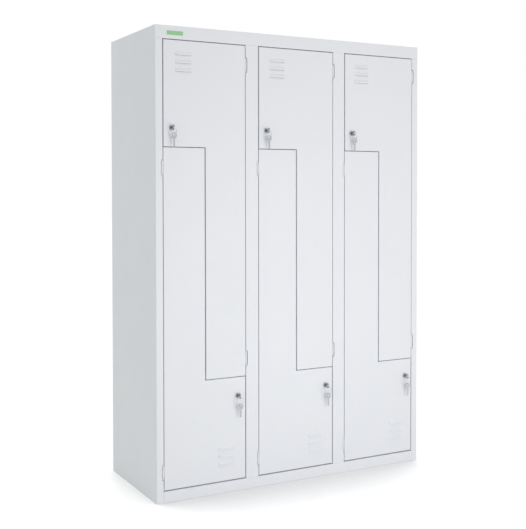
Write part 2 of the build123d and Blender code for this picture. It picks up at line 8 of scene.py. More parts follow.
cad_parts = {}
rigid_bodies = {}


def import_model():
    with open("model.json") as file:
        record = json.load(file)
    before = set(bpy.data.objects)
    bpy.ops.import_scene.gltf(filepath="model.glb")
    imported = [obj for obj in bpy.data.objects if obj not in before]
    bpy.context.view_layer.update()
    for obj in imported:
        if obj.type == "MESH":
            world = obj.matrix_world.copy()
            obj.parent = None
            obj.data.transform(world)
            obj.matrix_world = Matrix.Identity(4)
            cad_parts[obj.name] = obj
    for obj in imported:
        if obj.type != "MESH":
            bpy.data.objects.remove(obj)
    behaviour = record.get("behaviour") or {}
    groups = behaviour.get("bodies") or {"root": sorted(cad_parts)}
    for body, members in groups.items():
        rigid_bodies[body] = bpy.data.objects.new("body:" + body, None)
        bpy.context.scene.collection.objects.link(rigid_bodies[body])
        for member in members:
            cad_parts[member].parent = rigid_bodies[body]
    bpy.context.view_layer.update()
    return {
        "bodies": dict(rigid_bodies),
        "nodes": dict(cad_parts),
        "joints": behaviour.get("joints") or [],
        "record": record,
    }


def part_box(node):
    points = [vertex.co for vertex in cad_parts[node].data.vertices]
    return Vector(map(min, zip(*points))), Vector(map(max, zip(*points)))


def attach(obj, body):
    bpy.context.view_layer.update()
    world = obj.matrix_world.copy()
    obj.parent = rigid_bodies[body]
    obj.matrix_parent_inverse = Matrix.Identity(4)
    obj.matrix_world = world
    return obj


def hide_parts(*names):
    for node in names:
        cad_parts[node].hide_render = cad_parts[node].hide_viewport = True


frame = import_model()
nodes = frame["nodes"]
joints = {joint["name"]: joint for joint in frame["joints"]}
mm = 0.001  # pieces and patterns are in millimetres, the studio and the camera in metres
fullTurn = 2 * math.pi
quarterTurn = fullTurn / 4
mergeDistance = 0.001 * mm
flatCosine = 0.99  # least cosine between a flat face's normal and the way that it should point
columnCount = sum(name.startswith("upper_door") for name in frame["bodies"])
doors = [(row, column + 1) for column in range(columnCount) for row in ("upper", "lower")]
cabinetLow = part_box("left_side_panel")[0]
frontPlane = cabinetLow.y
print("frame loaded:", len(nodes), "nodes,", len(doors), "doors")


# Nodes and colours

def linearColour(hexText):
    # sRGB hex to linear, with alpha
    shares = [int(hexText[i:i + 2], 16) / 255 for i in (1, 3, 5)]
    return [s / 12.92 if s <= 0.04045 else ((s + 0.055) / 1.055) ** 2.4 for s in shares] + [1.0]


def addNode(tree, kind, settings=None, links=None):
    # Settings and links go by the name of a property or socket, or by a socket's number
    node = tree.nodes.new(kind)
    for name, value in (settings or {}).items():
        if isinstance(name, int) or name in node.inputs:
            node.inputs[name].default_value = value
        else:
            setattr(node, name, value)
    for name, source in (links or {}).items():
        tree.links.new(source, node.inputs[name])
    return node


def newMaterial(name):
    material = bpy.data.materials.new(name)
    material.use_nodes = True
    material.node_tree.nodes.clear()
    return material


def closeMaterial(tree, settings, links):
    shader = addNode(tree, "ShaderNodeBsdfPrincipled", settings, links)
    addNode(tree, "ShaderNodeOutputMaterial", links={"Surface": shader.outputs[0]})


# Noise that all the finishes share
patterns = {
    "toneDetail": 3.0,
    "smearDetail": 4.0,
    "smearRange": (0.3, 0.7),  # of the noise, spread over a finish's roughness
    "grainDetail": 2.0,
    "grainStrength": 1.0,
}


def perMetre(width):
    # A pattern's scale from the width of one of its features in millimetres
    return 1 / (width * mm)


def twoTones(tree, place, look):
    # Slow change between two tones of one colour
    noise = {"Scale": perMetre(look["toneWidth"]), "Detail": patterns["toneDetail"]}
    cloud = addNode(tree, "ShaderNodeTexNoise", noise, {"Vector": place})
    tones = {"data_type": "RGBA", 6: linearColour(look["colour"]), 7: linearColour(look["otherTone"])}
    return addNode(tree, "ShaderNodeMix", tones, {0: cloud.outputs[0]}).outputs[2]


def roughnessBetween(tree, place, look):
    # Patches between the lowest and the highest roughness of a finish
    noise = {"Scale": perMetre(look["smearWidth"]), "Detail": patterns["smearDetail"]}
    cloud = addNode(tree, "ShaderNodeTexNoise", noise, {"Vector": place})
    start, end = patterns["smearRange"]
    low, high = look["roughness"]
    spread = {"From Min": start, "From Max": end, "To Min": low, "To Max": high}
    return addNode(tree, "ShaderNodeMapRange", spread, {"Value": cloud.outputs[0]}).outputs[0]


def grainBump(tree, place, width, depth, coarser=None):
    # Grain of that width and depth, on top of a coarser one
    noise = {"Scale": perMetre(width), "Detail": patterns["grainDetail"]}
    grain = addNode(tree, "ShaderNodeTexNoise", noise, {"Vector": place})
    relief = {"Strength": patterns["grainStrength"], "Distance": depth * mm}
    links = {"Height": grain.outputs[0]}
    if coarser:
        links["Normal"] = coarser
    return addNode(tree, "ShaderNodeBump", relief, links).outputs[0]


# Satin powder coat, polyester powder baked on pressed sheet steel: an even light grey, faintly
# blue, with a soft sheen, a fine orange peel and the slow waves of thin sheet under it.
powderCoat = {
    "colour": "#E5E7EB",
    "otherTone": "#E0E2E6",
    "toneWidth": 420,
    "ior": 1.5,
    "roughness": (0.36, 0.46),
    "smearWidth": 60,
    "peelWidth": 3.0,  # the real peel is nearer 1 mm, drawn coarser so that it shows
    "peelDepth": 0.02,
    "waveWidth": 190,
    "waveDepth": 0.25,
}


def makePowderCoat(name, look):
    material = newMaterial(name)
    tree = material.node_tree
    place = addNode(tree, "ShaderNodeTexCoord").outputs["Object"]
    waves = grainBump(tree, place, look["waveWidth"], look["waveDepth"])
    closeMaterial(tree, {"Metallic": 0.0, "IOR": look["ior"]}, {
        "Base Color": twoTones(tree, place, look),
        "Roughness": roughnessBetween(tree, place, look),
        "Normal": grainBump(tree, place, look["peelWidth"], look["peelDepth"], waves),
    })
    return material


# Bare and plated metals: each is a metal with a fine grain and a smear of handling on it.
# Nickel plate on die-cast zinc is a grey, dull mirror. The plug is the same plate, a little rougher and
# painted darker: painted shade for the lock's dark centre. Stamped nickel-plated steel is paler and lightly
# scratched, and so is spring wire, but glossier. Chromed tube is a near mirror, zinc plate is blue grey,
# and bright-drawn steel is plain grey.
metals = {
    "nickelPlatedZinc": {
        "colour": "#B0B2B6", "otherTone": "#A3A5A9", "toneWidth": 5,
        "roughness": (0.14, 0.24), "smearWidth": 4, "grainWidth": 0.7, "grainDepth": 0.004,
    },
    "plugNickelPaintedShade": {
        "colour": "#919397", "otherTone": "#808286", "toneWidth": 4,
        "roughness": (0.22, 0.34), "smearWidth": 3, "grainWidth": 0.5, "grainDepth": 0.004,
    },
    "nickelPlatedSteel": {
        "colour": "#BFC1C5", "otherTone": "#B0B2B6", "toneWidth": 9,
        "roughness": (0.18, 0.34), "smearWidth": 5, "grainWidth": 0.6, "grainDepth": 0.006,
    },
    "nickelSpringWire": {
        "colour": "#B4B6BA", "otherTone": "#A2A4A8", "toneWidth": 3,
        "roughness": (0.12, 0.22), "smearWidth": 4, "grainWidth": 0.5, "grainDepth": 0.003,
    },
    "chromedTube": {
        "colour": "#D5D7DA", "otherTone": "#CDCFD2", "toneWidth": 60,
        "roughness": (0.05, 0.12), "smearWidth": 25, "grainWidth": 1.5, "grainDepth": 0.002,
    },
    "zincPlatedSteel": {
        "colour": "#B4B9C1", "otherTone": "#A5AAB0", "toneWidth": 6,
        "roughness": (0.26, 0.42), "smearWidth": 7, "grainWidth": 0.9, "grainDepth": 0.008,
    },
    "brightDrawnSteel": {
        "colour": "#AEB0B3", "otherTone": "#9C9EA1", "toneWidth": 8,
        "roughness": (0.22, 0.36), "smearWidth": 6, "grainWidth": 0.4, "grainDepth": 0.005,
    },
}


# Moulded rubber and enamelled aluminium: one is dull and nearly black with a matt moulded
# grain, the other a soft pale green with the gloss of baked enamel.
plains = {
    "mouldedRubber": {
        "colour": "#26262A", "otherTone": "#1C1C1F", "toneWidth": 5, "ior": 1.5, "coat": 0.0,
        "roughness": (0.7, 0.85), "smearWidth": 4, "grainWidth": 0.5, "grainDepth": 0.02,
    },
    "greenEnamel": {
        "colour": "#95C894", "otherTone": "#8EC18D", "toneWidth": 18, "ior": 1.5, "coat": 0.2,
        "roughness": (0.3, 0.4), "smearWidth": 12, "grainWidth": 0.8, "grainDepth": 0.006,
    },
}


def makeFinish(name, look, settings):
    material = newMaterial(name)
    tree = material.node_tree
    place = addNode(tree, "ShaderNodeTexCoord").outputs["Object"]
    closeMaterial(tree, settings, {
        "Base Color": twoTones(tree, place, look),
        "Roughness": roughnessBetween(tree, place, look),
        "Normal": grainBump(tree, place, look["grainWidth"], look["grainDepth"]),
    })
    return material


materials = {"satinPowderCoat": makePowderCoat("satinPowderCoat", powderCoat)}
for name, look in metals.items():
    materials[name] = makeFinish(name, look, {"Metallic": 1.0})
for name, look in plains.items():
    settings = {"Metallic": 0.0, "IOR": look["ior"], "Coat Weight": look["coat"]}
    materials[name] = makeFinish(name, look, settings)

# Finishes of the CAD's own nodes, by the record's slots
slotFinishes = {
    "body_paint": "satinPowderCoat",
    "door_paint": "satinPowderCoat",
    "chromed_tube": "chromedTube",
    "zinc_fitting": "zincPlatedSteel",
    "buffer_rubber": "mouldedRubber",
    "pin_steel": "brightDrawnSteel",
    "lock_nickel": "nickelPlatedZinc",
    "key_nickel": "nickelPlatedSteel",
}
for part in frame["record"]["subparts"]:
    finish = slotFinishes[part["material_slot"]]
    # The lock plugs take the darker nickel, painted shade for the lock's dark centre
    if part["node"].endswith("lock_plug"):
        finish = "plugNickelPaintedShade"
    mesh = nodes[part["node"]].data
    mesh.materials.clear()
    mesh.materials.append(materials[finish])
print("materials made:", len(materials))


# Making pieces

def addPiece(name, bm, finish, body, replaced=()):
    mesh = bpy.data.meshes.new(name)
    bm.to_mesh(mesh)
    bm.free()
    piece = bpy.data.objects.new(name, mesh)
    bpy.context.scene.collection.objects.link(piece)
    mesh.materials.append(materials[finish])
    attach(piece, body)
    if replaced:
        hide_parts(*replaced)


def addCopy(bm, source, matrix=Matrix.Identity(4)):
    # Puts a turned or moved copy of one bmesh into another
    mesh = bpy.data.meshes.new("copy")
    source.to_mesh(mesh)
    mesh.transform(matrix)
    bm.from_mesh(mesh)
    bpy.data.meshes.remove(mesh)


def placedCopy(source, matrix):
    bm = bmesh.new()
    addCopy(bm, source, matrix)
    return bm


def joined(parts):
    whole = bmesh.new()
    for part in parts:
        addCopy(whole, part)
        part.free()
    return whole


def onlyOf(kind, items):
    return [item for item in items if isinstance(item, kind)]


def shadeSmooth(bm, crease):
    # Round faces are smooth, and an edge sharper than the crease, in degrees, stays crisp
    for face in bm.faces:
        face.smooth = True
    for edge in bm.edges:
        edge.smooth = edge.is_manifold and edge.calc_face_angle() < math.radians(crease)


def roundedEdge(face, side, steps):
    # Quarter ellipse in a profile, from the rim of a flat face to the start of a straight side
    points = []
    for step in range(steps + 1):
        angle = quarterTurn * step / steps
        radius = face[0] + (side[0] - face[0]) * math.sin(angle)
        along = side[1] + (face[1] - side[1]) * math.cos(angle)
        points.append((radius, along))
    return points


def spunAboutY(profile, steps):
    # A closed ring or, where the profile starts and ends on the axis, a solid
    bm = bmesh.new()
    corners = [bm.verts.new((radius * mm, along * mm, 0)) for radius, along in profile]
    edges = [bm.edges.new(pair) for pair in zip(corners, corners[1:])]
    if profile[0][0] > 0:
        edges.append(bm.edges.new((corners[-1], corners[0])))
    bmesh.ops.spin(bm, geom=corners + edges, axis=(0, 1, 0), cent=(0, 0, 0), angle=fullTurn, steps=steps,
                   use_merge=True)
    bmesh.ops.remove_doubles(bm, verts=bm.verts, dist=mergeDistance)
    bmesh.ops.recalc_face_normals(bm, faces=bm.faces)
    return bm


def thicken(bm, faces, thickness):
    # Makes flat faces a plate, with its middle where they were
    extruded = bmesh.ops.extrude_face_region(bm, geom=faces)
    raised = onlyOf(bmesh.types.BMVert, extruded["geom"])
    bmesh.ops.translate(bm, vec=(0, 0, thickness * mm), verts=raised)
    bmesh.ops.translate(bm, vec=(0, 0, -thickness / 2 * mm), verts=bm.verts)
    bmesh.ops.recalc_face_normals(bm, faces=bm.faces)


def cutPlane(bm, point, outward, clear=False):
    # Cuts the faces along a plane and, if asked, takes away what lies outside it
    everything = bm.verts[:] + bm.edges[:] + bm.faces[:]
    return bmesh.ops.bisect_plane(bm, geom=everything, plane_co=point, plane_no=outward, clear_outer=clear)


def cutFlat(bm, point, outward):
    # Slices a flat on a solid and closes the cut
    cut = cutPlane(bm, point, outward, clear=True)
    bmesh.ops.holes_fill(bm, edges=onlyOf(bmesh.types.BMEdge, cut["geom_cut"]), sides=0)


def islandBoxes(node):
    # Low and high corners of each separate solid in a CAD node
    bm = bmesh.new()
    bm.from_mesh(nodes[node].data)
    bmesh.ops.remove_doubles(bm, verts=bm.verts, dist=mergeDistance)
    left = set(bm.verts)
    boxes = []
    while left:
        queue = [left.pop()]
        island = []
        while queue:
            vert = queue.pop()
            island.append(vert.co.copy())
            for edge in vert.link_edges:
                other = edge.other_vert(vert)
                if other in left:
                    left.remove(other)
                    queue.append(other)
        low = Vector(min(co[axis] for co in island) for axis in range(3))
        high = Vector(max(co[axis] for co in island) for axis in range(3))
        boxes.append((low, high))
    bm.free()
    return sorted(boxes, key=lambda box: tuple(box[0]))


# Bare plate on the header: small, enamelled green, with a raised edge
headerPlate = {
    "left": 46.5,  # from the side of the cabinet
    "drop": 19.5,  # from the top of the cabinet
    "width": 66,
    "height": 15.5,
    "thickness": 0.8,
    "corner": 1.6,
    "cornerSteps": 5,
    "edge": 0.25,
    "edgeSteps": 2,
    "rim": 1.0,
    "rimDepth": 0.2,
    "crease": 35,
}


def frontFace(bm):
    return min(bm.faces, key=lambda face: face.calc_center_median().y)


def makeHeaderPlate(size):
    bm = bmesh.new()
    bmesh.ops.create_cube(bm, size=mm)
    bmesh.ops.scale(bm, vec=(size["width"], size["thickness"], size["height"]), verts=bm.verts)
    corners = [edge for edge in bm.edges if edge.verts[0].co.y * edge.verts[1].co.y < 0]
    bmesh.ops.bevel(bm, geom=corners, offset=size["corner"] * mm, affect="EDGES",
                    segments=size["cornerSteps"], profile=0.5, material=-1)
    bmesh.ops.bevel(bm, geom=frontFace(bm).edges[:], offset=size["edge"] * mm, affect="EDGES",
                    segments=size["edgeSteps"], profile=0.5, material=-1)
    front = frontFace(bm)
    bmesh.ops.inset_region(bm, faces=[front], thickness=size["rim"] * mm, use_even_offset=True)
    bmesh.ops.inset_region(bm, faces=[front], thickness=size["rimDepth"] * mm,
                           depth=-size["rimDepth"] * mm, use_even_offset=True)
    x = cabinetLow.x + (size["left"] + size["width"] / 2) * mm
    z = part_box("top_panel")[1].z - (size["drop"] + size["height"] / 2) * mm
    bmesh.ops.translate(bm, vec=(x, frontPlane - size["thickness"] / 2 * mm, z), verts=bm.verts)
    shadeSmooth(bm, size["crease"])
    addPiece("headerPlate", bm, "greenEnamel", "cabinet")


makeHeaderPlate(headerPlate)
print("header plate made")


# Cam lock housings: a turned head with a rounded edge and a shallow dish round the plug, a
# threaded barrel with two flats, and a thin hexagon nut behind the skin of the door.
# Places along a lock's axis are measured from the door's face, and are negative in front of it.
lockHousing = {
    "headRadius": 11,
    "headRise": 3,
    "headRound": 1.3,  # of its edge, across the face
    "headRoundDepth": 1.5,  # of its edge, down the side
    "headRoundSteps": 4,
    "headChamfer": 0.15,  # where the head meets the door
    "bore": 6.06,
    "boreChamfer": 0.35,
    "dishRadius": 8.2,
    "dishDepth": 0.45,
    "dishFall": 0.1,  # of its coned floor, above and below that depth
    "dishWall": 0.6,
    "dishLip": 0.35,
    "dishLipDepth": 0.08,
    "barrelRadius": 9.4,
    "barrelFlat": 8.0,  # from the axis
    "barrelStart": -0.2,
    "barrelEnd": 22.5,
    "threadStart": 1.5,
    "threadPitch": 1.5,
    "threadDepth": 0.55,
    "crestShares": (0.4, 0.6),  # of the pitch, where a crest starts and ends
    "nutSides": 6,
    "nutFlats": 24,
    "nutFront": 1.0,
    "nutHeight": 4.0,
    "nutChamfer": 1.0,
    "nutChamferWidth": 2.0,
    "steps": 48,
    "crease": 35,
}


def lockHead(size):
    bore, radius, front = size["bore"], size["headRadius"], -size["headRise"]
    dish, wall = front + size["dishDepth"], size["dishRadius"]
    floor, foot = dish + size["dishFall"], dish - size["dishFall"]
    chamfer, back = size["boreChamfer"], size["headChamfer"]
    profile = [(bore, 0), (bore, floor + chamfer), (bore + chamfer, floor), (wall - size["dishWall"], foot)]
    profile += [(wall, front + size["dishLipDepth"]), (wall + size["dishLip"], front)]
    face, side = (radius - size["headRound"], front), (radius, front + size["headRoundDepth"])
    profile += roundedEdge(face, side, size["headRoundSteps"])
    profile += [(radius, -back), (radius - back, 0)]
    return spunAboutY(profile, size["steps"])


def lockBarrel(size):
    bore, radius, root = size["bore"], size["barrelRadius"], size["barrelRadius"] - size["threadDepth"]
    start, end, pitch = size["barrelStart"], size["barrelEnd"], size["threadPitch"]
    rise, fall = size["crestShares"]
    profile = [(bore, end), (bore, start), (root, start), (root, size["threadStart"])]
    for turn in range(int((end - size["threadStart"]) / pitch)):
        foot = size["threadStart"] + turn * pitch
        profile += [(radius, foot + rise * pitch), (radius, foot + fall * pitch), (root, foot + pitch)]
    bm = spunAboutY(profile, size["steps"])
    for way in (-1, 1):
        cutFlat(bm, (way * size["barrelFlat"] * mm, 0, 0), (way, 0, 0))
    return bm


def hexagonNut(size):
    # Turned to its corners with both chamfers, and then sliced on each side
    bore, sides, slope = size["barrelRadius"], size["nutSides"], size["nutChamfer"]
    corner = size["nutFlats"] / 2 / math.cos(fullTurn / 2 / sides)
    face = corner - size["nutChamferWidth"]
    front, back = size["nutFront"], size["nutFront"] + size["nutHeight"]
    profile = [(bore, back), (bore, front), (face, front), (corner, front + slope)]
    profile += [(corner, back - slope), (face, back)]
    bm = spunAboutY(profile, size["steps"])
    for side in range(sides):
        angle = side * fullTurn / sides
        outward = Vector((math.sin(angle), 0, math.cos(angle)))
        cutFlat(bm, outward * size["nutFlats"] / 2 * mm, outward)
    return bm


def makeLockHousings(size):
    master = joined([lockHead(size), lockBarrel(size), hexagonNut(size)])
    bmesh.ops.recalc_face_normals(master, faces=master.faces)
    shadeSmooth(master, size["crease"])
    for row, column in doors:
        axis = Vector(joints[f"{row}_lock_{column}_turn"]["pos_m"])
        housing = placedCopy(master, Matrix.Translation(axis))
        name, door = f"{row}LockHousing{column}", f"{row}_door_{column}"
        addPiece(name, housing, "nickelPlatedZinc", door, [f"{door}_lock_body"])
    master.free()


makeLockHousings(lockHousing)
print("lock housings made")


# Keys: a stamped bow with a coined face and a hole, and a blade with bits and a milled groove.
# A key is drawn flat about its hole with the blade along +X, and then put in its place.
lockerKey = {
    "thickness": 2.0,
    "bow": 21,
    "bowCorner": 8,
    "cornerSteps": 8,
    "holeRadius": 4,
    "holeInset": 6.5,
    "edge": 0.25,
    "edgeSteps": 2,
    "coinRim": 1.3,
    "coinDepth": 0.3,
    "neck": 4,
    "neckWidth": 10,
    "bladeThickness": 1.8,
    "bladeWidth": 8,
    "bladeTip": 2.5,
    "bitPlaceShares": (0.28, 0.42, 0.56, 0.70, 0.84),  # of the blade's length
    "bitDepthShares": (0.22, 0.34, 0.16, 0.30, 0.20),  # of its width
    "bitSlopeShare": 0.06,  # of its length, and so is the next
    "bitFlatShare": 0.015,
    "groove": (-2.0, -0.4),  # its two edges, from the middle of the blade
    "grooveDepth": 0.45,
    "grooveWall": 0.2,
    "crease": 30,
    "hangTurn": 40,  # between the hanging key and the door, in degrees
}


def keyBow(size):
    bm = bmesh.new()
    half, steps = size["bow"] / 2, size["cornerSteps"]
    square = bmesh.ops.create_grid(bm, x_segments=1, y_segments=1, size=half * mm)["verts"]
    bmesh.ops.translate(bm, vec=((half - size["holeInset"]) * mm, 0, 0), verts=square)
    bmesh.ops.bevel(bm, geom=square, offset=size["bowCorner"] * mm, affect="VERTICES",
                    segments=steps - 1, profile=0.5, material=-1)
    bmesh.ops.delete(bm, geom=bm.faces[:], context="FACES_ONLY")
    # The hole has as many steps as the four corners, and half a step brings them face to face
    hole = bmesh.ops.create_circle(bm, segments=4 * steps, radius=size["holeRadius"] * mm)["verts"]
    halfStep = Matrix.Rotation(quarterTurn / steps / 2, 3, "Z")
    bmesh.ops.rotate(bm, matrix=halfStep, verts=hole)
    bmesh.ops.bridge_loops(bm, edges=bm.edges[:])
    thicken(bm, bm.faces[:], size["thickness"])
    rims = [edge for edge in bm.edges if edge.calc_face_angle() > quarterTurn / 2]
    bmesh.ops.bevel(bm, geom=rims, offset=size["edge"] * mm, affect="EDGES", segments=size["edgeSteps"],
                    profile=0.5, material=-1)
    for way in (-1, 1):
        cheek = [face for face in bm.faces if face.normal.z * way > flatCosine]
        bmesh.ops.inset_region(bm, faces=cheek, thickness=size["coinRim"] * mm, use_even_offset=True)
        bmesh.ops.inset_region(bm, faces=cheek, thickness=size["coinDepth"] * mm,
                               depth=-size["coinDepth"] * mm, use_even_offset=True)
    return bm


def bladeOutline(size, shoulder, bladeLength):
    # From the neck along the plain edge to the tip, and back over the bits
    neckStart = shoulder - size["neck"] - size["bowCorner"]
    end, half, neckHalf = shoulder + bladeLength, size["bladeWidth"] / 2, size["neckWidth"] / 2
    tip = end - size["bladeTip"]
    slope, flat = size["bitSlopeShare"] * bladeLength, size["bitFlatShare"] * bladeLength
    outline = [(neckStart, neckHalf), (neckStart, -neckHalf), (shoulder, -neckHalf), (shoulder, -half)]
    outline += [(tip, -half), (end, 0), (tip, half)]
    for place, depth in reversed(list(zip(size["bitPlaceShares"], size["bitDepthShares"]))):
        x, low = shoulder + place * bladeLength, half - depth * size["bladeWidth"]
        outline += [(x + slope, half), (x + flat, low), (x - flat, low), (x - slope, half)]
    return outline + [(shoulder, half), (shoulder, neckHalf)]


def keyBlade(size, bladeLength):
    bm = bmesh.new()
    neckEnd = size["bow"] - size["holeInset"]
    outline = bladeOutline(size, neckEnd + size["neck"], bladeLength)
    face = bm.faces.new([bm.verts.new((x * mm, y * mm, 0)) for x, y in outline])
    thicken(bm, [face], size["bladeThickness"])
    low, high = size["groove"]
    cutPlane(bm, (0, low * mm, 0), (0, 1, 0))
    cutPlane(bm, (0, high * mm, 0), (0, 1, 0))
    cutPlane(bm, (neckEnd * mm, 0, 0), (1, 0, 0))
    for way in (-1, 1):
        strip = []
        for face in bm.faces:
            middle = face.calc_center_median()
            inGroove = low * mm < middle.y < high * mm and middle.x > neckEnd * mm
            if inGroove and face.normal.z * way > flatCosine:
                strip.append(face)
        bmesh.ops.inset_region(bm, faces=strip, thickness=size["grooveWall"] * mm,
                               depth=-size["grooveDepth"] * mm, use_even_offset=True)
    return bm


def wholeKey(size, bladeLength):
    key = joined([keyBow(size), keyBlade(size, bladeLength)])
    shadeSmooth(key, size["crease"])
    return key


# Split ring: flat spring wire in two turns that lie side by side, with one crossing
splitRing = {
    "belowLock": 2.9,  # from the middle of the lock to the middle of the wire
    "wireWide": 1.6,  # across the ring
    "wireThick": 0.74,
    "wireSteps": 12,
    "gap": 0.06,
    "crossing": 50,  # degrees
    "steps": 40,  # in one turn
    "crease": 50,
}


def wholeRing(size, radius):
    # The wire's outline is spun from end to end, and then both its ends are closed
    bm = bmesh.new()
    wire = bmesh.ops.create_circle(bm, segments=size["wireSteps"], radius=mm / 2)["verts"]
    bmesh.ops.scale(bm, vec=(size["wireWide"], size["wireThick"], 1), verts=wire)
    shift = (size["wireThick"] + size["gap"]) * mm
    bmesh.ops.translate(bm, vec=(radius, -shift / 2, 0), verts=wire)
    crossing = math.radians(size["crossing"])
    last = bm.edges[:]
    flat = fullTurn - crossing
    for angle, move in ((flat, 0), (crossing, shift), (flat, 0)):
        steps = round(size["steps"] * angle / fullTurn)
        turned = bmesh.ops.spin(bm, geom=last, axis=(0, 1, 0), cent=(0, 0, 0), dvec=(0, move / steps, 0),
                                angle=angle, steps=steps)
        last = onlyOf(bmesh.types.BMEdge, turned["geom_last"])
    bmesh.ops.holes_fill(bm, edges=[edge for edge in bm.edges if edge.is_boundary], sides=0)
    bmesh.ops.recalc_face_normals(bm, faces=bm.faces)
    shadeSmooth(bm, size["crease"])
    return bm


def axesMatrix(xAxis, yAxis, zAxis, origin):
    turned = Matrix((xAxis, yAxis, zAxis)).transposed().to_4x4()
    return Matrix.Translation(origin) @ turned


def makeKeys(size, ringSize):
    low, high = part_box("upper_door_1_spare_key")
    bladeLength = (high.z - low.z) / mm - size["bow"] - size["neck"]
    master = wholeKey(size, bladeLength)
    turn = math.radians(size["hangTurn"])
    across, ahead = math.sin(turn), math.cos(turn)
    steel, slot = "nickelPlatedSteel", "key_nickel"
    for row, column in doors:
        keyNode, spareNode = f"{row}_door_{column}_key", f"{row}_door_{column}_spare_key"
        keyBody, spareBody = f"{row}_key_{column}", f"{row}_spare_key_{column}"
        lockAxis = Vector(joints[f"{row}_lock_{column}_turn"]["pos_m"])
        ringCentre = Vector(joints[f"{row}_spare_key_{column}_hang"]["pos_m"])
        inLock = axesMatrix((0, 1, 0), (0, 0, 1), (1, 0, 0), (lockAxis.x, ringCentre.y, lockAxis.z))
        hole = (lockAxis.x, ringCentre.y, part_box(spareNode)[1].z - size["holeInset"] * mm)
        hanging = axesMatrix((0, 0, -1), (-ahead, across, 0), (across, ahead, 0), hole)
        ring = wholeRing(ringSize, lockAxis.z - ringCentre.z - ringSize["belowLock"] * mm)
        bmesh.ops.translate(ring, vec=ringCentre, verts=ring.verts)
        key, spareKey = placedCopy(master, inLock), placedCopy(master, hanging)
        addPiece(f"{row}Key{column}", key, steel, keyBody, [keyNode])
        addPiece(f"{row}Ring{column}", ring, "nickelSpringWire", keyBody, [keyNode])
        addPiece(f"{row}SpareKey{column}", spareKey, steel, spareBody, [spareNode])
    print("key has", len(master.faces), "faces")
    master.free()


makeKeys(lockerKey, splitRing)
print("keys and rings made")


# Domed rubber buffers on the door stops
rubberBuffer = {
    "sideShare": 0.55,  # of the height, straight
    "faceShare": 0.5,  # of the radius, flat
    "dimpleShare": 0.25,  # of the radius
    "dimple": 0.25,
    "roundSteps": 4,
    "steps": 24,
    "crease": 50,
}


def makeBuffers(size):
    bm = bmesh.new()
    for low, high in islandBoxes("door_buffers"):
        radius, height = (high.x - low.x) / 2 / mm, (high.y - low.y) / mm
        face, side = (size["faceShare"] * radius, -height), (radius, -size["sideShare"] * height)
        dome = roundedEdge(face, side, size["roundSteps"])
        dimple = size["dimple"] - height
        profile = [(0, 0), (radius, 0)] + dome[::-1] + [(size["dimpleShare"] * radius, dimple), (0, dimple)]
        stud = spunAboutY(profile, size["steps"])
        centre = ((low.x + high.x) / 2, high.y, (low.z + high.z) / 2)
        addCopy(bm, stud, Matrix.Translation(centre))
        stud.free()
    shadeSmooth(bm, size["crease"])
    addPiece("rubberBuffers", bm, "mouldedRubber", "cabinet", ["door_buffers"])


makeBuffers(rubberBuffer)
print("buffers made")


# Blind rivets that hold the rail sockets: a domed head with the broken pin's hole in it
socketRivet = {
    "radius": 2.9,
    "height": 1.1,
    "side": 0.1,
    "sunk": 0.3,  # into the socket's base
    "roundSteps": 4,
    "holeRadius": 0.9,
    "holeDepth": 0.6,
    "holeChamfer": 0.12,
    "fromAxis": 14.2,  # middle of the socket to the rivet
    "plate": 2.0,  # thickness of the socket's base
    "steps": 16,
    "crease": 50,
}


def rivetMesh(size):
    radius, height, hole = size["radius"], size["height"], size["holeRadius"]
    chamfer, bottom = size["holeChamfer"], size["holeDepth"] - height
    dome = roundedEdge((hole + chamfer, -height), (radius, -size["side"]), size["roundSteps"])
    profile = [(0, size["sunk"]), (radius, size["sunk"])] + dome[::-1]
    profile += [(hole, chamfer - height), (hole, bottom), (0, bottom)]
    return spunAboutY(profile, size["steps"])


def makeRivets(size):
    # The head of a rivet points towards the socket's rail
    bm = bmesh.new()
    rivet = rivetMesh(size)
    rails = islandBoxes("upper_coat_rails") + islandBoxes("lower_coat_rails")
    for low, high in islandBoxes("rail_sockets"):
        centre = (low + high) / 2
        near = min(rails, key=lambda rail: ((rail[0] + rail[1]) / 2 - centre).length)
        toRight = (near[0].x + near[1].x) / 2 > centre.x
        x = low.x + size["plate"] * mm if toRight else high.x - size["plate"] * mm
        turn = Matrix.Rotation(quarterTurn if toRight else -quarterTurn, 4, "Z")
        for way in (-1, 1):
            spot = Vector((x, centre.y, centre.z + way * size["fromAxis"] * mm))
            addCopy(bm, rivet, Matrix.Translation(spot) @ turn)
    rivet.free()
    shadeSmooth(bm, size["crease"])
    addPiece("socketRivets", bm, "zincPlatedSteel", "cabinet")


makeRivets(socketRivet)
print("rivets made")


# Spot-weld marks under the paint of the back panel, where the flanges behind it are joined on
weldMark = {
    "radius": 3.2,
    "rise": 0.22,
    "crestShare": 0.66,  # of the radius, and so is the next
    "hollowShare": 0.4,
    "hollow": 0.1,  # height of its floor
    "sunk": 0.1,  # into the sheet
    "roundSteps": 3,
    "pitch": 155,
    "fromSide": 8,  # edge of the cabinet to the row of marks
    "fromTop": 60,
    "fromFoot": 70,
    "fromPartition": 8,
    "steps": 20,
    "crease": 60,
}


def weldMesh(size):
    radius, hollow = size["radius"], size["hollow"]
    bead = roundedEdge((size["crestShare"] * radius, size["rise"]), (radius, 0), size["roundSteps"])
    profile = [(0, -size["sunk"]), (radius, -size["sunk"])] + bead[::-1]
    profile += [(size["hollowShare"] * radius, hollow), (0, hollow)]
    return spunAboutY(profile, size["steps"])


